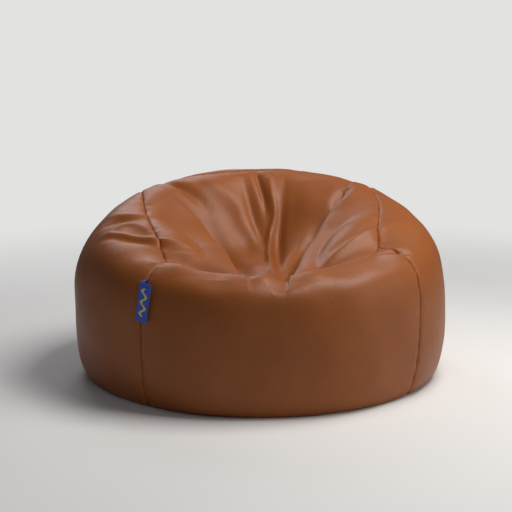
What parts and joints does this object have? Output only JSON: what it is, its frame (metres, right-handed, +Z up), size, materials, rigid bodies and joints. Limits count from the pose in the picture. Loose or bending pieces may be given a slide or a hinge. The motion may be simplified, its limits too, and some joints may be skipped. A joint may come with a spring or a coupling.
{
  "type": "bean bag chair",
  "caption": "Round leatherette bean bag chair with a raised back, a sagging seat hollow, a zipped base, an inner liner of beads and a folded woven label.",
  "frame": {"origin": "middle of the base, on the floor", "axes": "+Z up, -Y towards the front, the low side of the seat, +X to the right as seen from the front"},
  "size_m": [0.95, 0.95, 0.4933],
  "materials": {
    "cover_leather": "satin",
    "thread": "matte",
    "zip_tape": "matte",
    "zip_teeth": "satin",
    "zip_metal": "satin",
    "liner_tape": "matte",
    "liner_teeth": "satin",
    "liner_cloth": "matte",
    "beads": "matte",
    "label_cloth": "matte"
  },
  "bodies": {
    "bag": {"front_panel": "cover_leather", "right_panel": "cover_leather", "back_panel": "cover_leather", "left_panel": "cover_leather", "seat_panel": "cover_leather", "base_panel_front": "cover_leather", "base_panel_back": "cover_leather", "side_seam_thread_front_left": "thread", "side_seam_thread_front_right": "thread", "side_seam_thread_back_right": "thread", "side_seam_thread_back_left": "thread", "seat_seam_thread": "thread", "base_seam_thread": "thread", "base_centre_thread": "thread", "cover_zip_tape_front": "zip_tape", "cover_zip_tape_back": "zip_tape", "cover_zip_teeth_front": "zip_teeth", "cover_zip_teeth_back": "zip_teeth", "cover_zip_stops": "zip_metal", "liner_zip_tape_front": "liner_tape", "liner_zip_tape_back": "liner_tape", "liner_zip_teeth_front": "liner_teeth", "liner_zip_teeth_back": "liner_teeth", "liner_zip_stops": "zip_metal", "liner_bag": "liner_cloth", "bead_fill": "beads", "label_tab": "label_cloth"},
    "cover_slider": {"cover_zip_slider": "zip_metal"},
    "cover_pull": {"cover_zip_pull": "zip_metal"},
    "liner_slider": {"liner_zip_slider": "zip_metal"},
    "label": {"label_flap": "label_cloth"}
  },
  "joints": [
    {"name": "cover_zip_slide", "type": "slide", "parent": "bag", "child": "cover_slider", "axis": [-1, 0, 0], "range_m": [0, 0.5359], "deforming": ["cover_zip_teeth_front", "cover_zip_teeth_back"]},
    {"name": "cover_pull_swing", "type": "hinge", "parent": "cover_slider", "child": "cover_pull", "pos_m": [0.2852, 0, 0.00125], "axis": [0, -1, 0], "range_deg": [0, 170]},
    {"name": "liner_zip_slide", "type": "slide", "parent": "bag", "child": "liner_slider", "axis": [-1, 0, 0], "range_m": [0, 0.3709], "deforming": ["liner_zip_teeth_front", "liner_zip_teeth_back"]},
    {"name": "label_fold", "type": "hinge", "parent": "bag", "child": "label", "pos_m": [-0.28285, -0.38086, 0.26214], "axis": [-0.14, 0.0159, -0.99], "range_deg": [0, 170], "stiffness_Nm_per_rad": 0.002}
  ]
}
